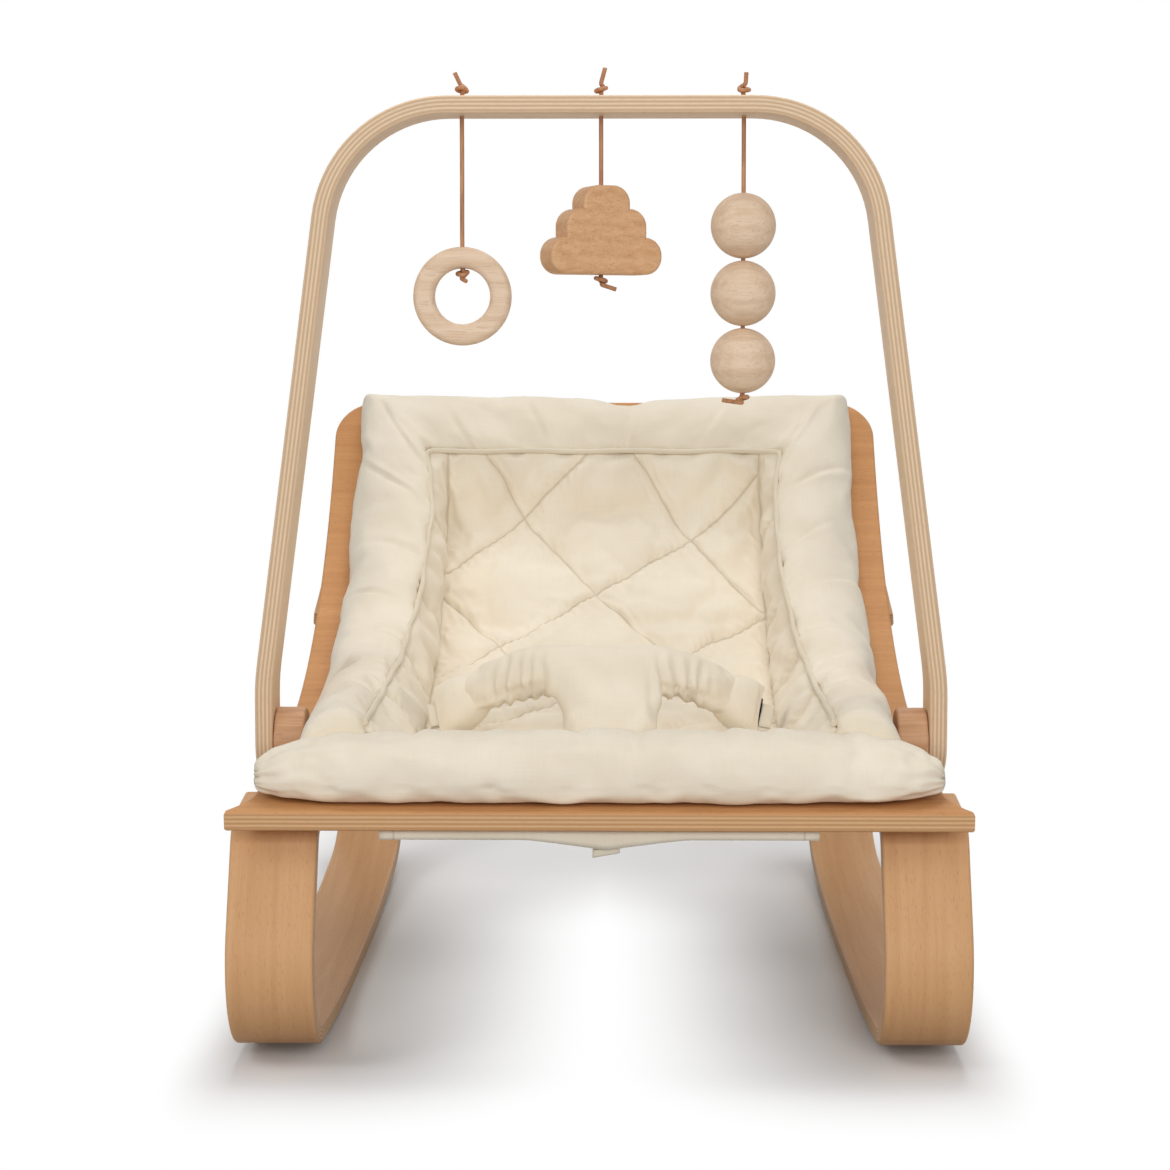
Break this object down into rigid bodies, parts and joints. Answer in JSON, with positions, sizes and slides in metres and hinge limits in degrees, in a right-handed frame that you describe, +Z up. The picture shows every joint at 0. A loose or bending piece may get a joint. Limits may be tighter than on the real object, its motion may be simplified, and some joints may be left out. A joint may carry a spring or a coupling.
{
  "type": "baby rocker seat with toy bow",
  "caption": "Low baby rocker: bent plywood seat ring on two curved runner bands, quilted cushion with padded harness, and a tilting plywood bow with hanging toys.",
  "frame": {"origin": "on the floor under the middle of the object's box", "axes": "+X to the right as seen from the front, +Y to the back, +Z up"},
  "size_m": [0.411, 0.6635, 0.5628],
  "materials": {
    "frame_ply": "oiled beech plywood, warm tan",
    "runner_ply": "oiled beech plywood, warm tan",
    "bow_ply": "pale plywood with visible layers on its edges",
    "peg_wood": "turned beech dowel",
    "toy_wood": "sanded raw beech",
    "cloud_wood": "sanded reddish wood",
    "steel": "zinc plated",
    "insert_brass": "plain brass",
    "leather_cord": "round tan leather lace",
    "cotton": "cream cotton",
    "webbing": "cream woven tape",
    "black_plastic": "moulded black"
  },
  "bodies": {
    "rocker": {"bow_screws": "steel", "crotch_pad": "cotton", "frame_inserts": "insert_brass", "front_bolster": "cotton", "front_runner_bolts": "steel", "left_bolster": "cotton", "left_clip_peg": "peg_wood", "left_gusset": "cotton", "left_runner": "runner_ply", "left_strap_buckle": "black_plastic", "left_waist_strap": "webbing", "panel_piping": "cotton", "pull_tab": "webbing", "quilted_panel": "cotton", "rear_runner_bolts": "steel", "right_bolster": "cotton", "right_clip_peg": "peg_wood", "right_gusset": "cotton", "right_runner": "runner_ply", "right_strap_buckle": "black_plastic", "right_waist_strap": "webbing", "seat_frame": "frame_ply", "seat_sling": "cotton", "top_bolster": "cotton", "waist_pad": "cotton"},
    "bow": {"arch_bow": "bow_ply", "ring_top_knot": "leather_cord", "cloud_top_knot": "leather_cord", "bead_top_knot": "leather_cord"},
    "ring_line": {"ring_cord": "leather_cord", "ring_bottom_knot": "leather_cord"},
    "cloud_line": {"cloud_cord": "leather_cord", "cloud_bottom_knot": "leather_cord"},
    "bead_line": {"bead_cord": "leather_cord", "bead_bottom_knot": "leather_cord"},
    "ring": {"wooden_ring": "toy_wood"},
    "cloud": {"wooden_cloud": "cloud_wood"},
    "top_bead": {"bead_top": "toy_wood"},
    "middle_bead": {"bead_middle": "toy_wood"},
    "bottom_bead": {"bead_bottom": "toy_wood"}
  },
  "joints": [
    {"name": "bow_tilt", "type": "hinge", "parent": "rocker", "child": "bow", "pos_m": [0, -0.18008, 0.16624], "axis": [1, 0, 0], "range_deg": [-25, 45]},
    {"name": "ring_swing", "type": "hinge", "parent": "bow", "child": "ring_line", "pos_m": [-0.082, -0.18008, 0.5349], "axis": [1, 0, 0], "range_deg": [-50, 50]},
    {"name": "cloud_swing", "type": "hinge", "parent": "bow", "child": "cloud_line", "pos_m": [0, -0.18008, 0.5349], "axis": [1, 0, 0], "range_deg": [-50, 50]},
    {"name": "bead_swing", "type": "hinge", "parent": "bow", "child": "bead_line", "pos_m": [0.084, -0.18008, 0.5349], "axis": [1, 0, 0], "range_deg": [-50, 50]},
    {"name": "ring_spin", "type": "hinge", "parent": "ring_line", "child": "ring", "pos_m": [-0.082, -0.18008, 0.46], "axis": [0, 0, 1], "continuous": true},
    {"name": "cloud_spin", "type": "hinge", "parent": "cloud_line", "child": "cloud", "pos_m": [0, -0.18008, 0.4957], "axis": [0, 0, 1], "continuous": true},
    {"name": "top_bead_spin", "type": "hinge", "parent": "bead_line", "child": "top_bead", "pos_m": [0.084, -0.18008, 0.47245], "axis": [0, 0, 1], "continuous": true},
    {"name": "middle_bead_spin", "type": "hinge", "parent": "bead_line", "child": "middle_bead", "pos_m": [0.084, -0.18008, 0.43275], "axis": [0, 0, 1], "continuous": true},
    {"name": "bottom_bead_spin", "type": "hinge", "parent": "bead_line", "child": "bottom_bead", "pos_m": [0.084, -0.18008, 0.39305], "axis": [0, 0, 1], "continuous": true}
  ]
}
